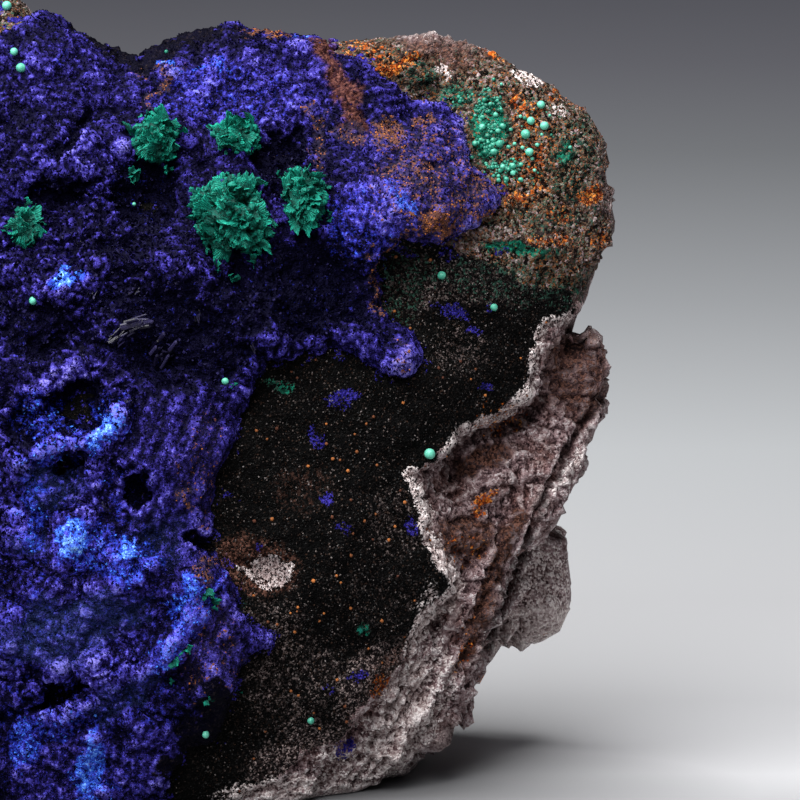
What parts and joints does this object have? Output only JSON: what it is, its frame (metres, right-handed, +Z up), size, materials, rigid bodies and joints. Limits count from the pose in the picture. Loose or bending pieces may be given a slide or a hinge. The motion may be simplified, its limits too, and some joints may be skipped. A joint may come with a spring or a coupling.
{
  "type": "azurite with malachite mineral specimen",
  "caption": "Dark host rock lined with deep blue azurite crust, with green malachite rosettes and pale green beads, standing on a flat broken base.",
  "frame": {"origin": "on the flat broken base, near its middle", "axes": "+Z up from the base; -Y out of the blue and black show face; +X to the viewer's right, towards the brown broken side"},
  "size_m": [0.103, 0.0656, 0.0998],
  "materials": {
    "host_rock": "dull broken iron-stained rock with a black oxide skin",
    "azurite": "velvety deep ultramarine crystal crust",
    "malachite": "silky green fans of fine fibres",
    "malachite_bead": "satin pale turquoise-green round beads"
  },
  "bodies": {
    "root": {"matrix_rock": "host_rock", "azurite_crust": "azurite", "malachite_spray_main": "malachite", "malachite_spray_right": "malachite", "malachite_spray_upper": "malachite", "malachite_spray_middle": "malachite", "malachite_spray_left": "malachite", "malachite_spray_far": "malachite", "malachite_bead_patch": "malachite_bead", "malachite_bead_01": "malachite_bead", "malachite_bead_02": "malachite_bead", "malachite_bead_03": "malachite_bead", "malachite_bead_04": "malachite_bead", "malachite_bead_05": "malachite_bead", "malachite_bead_06": "malachite_bead", "malachite_bead_07": "malachite_bead", "malachite_bead_08": "malachite_bead", "malachite_bead_09": "malachite_bead", "malachite_bead_10": "malachite_bead", "malachite_bead_11": "malachite_bead", "malachite_bead_12": "malachite_bead", "malachite_bead_13": "malachite_bead", "malachite_bead_14": "malachite_bead", "malachite_bead_15": "malachite_bead"}
  },
  "joints": []
}
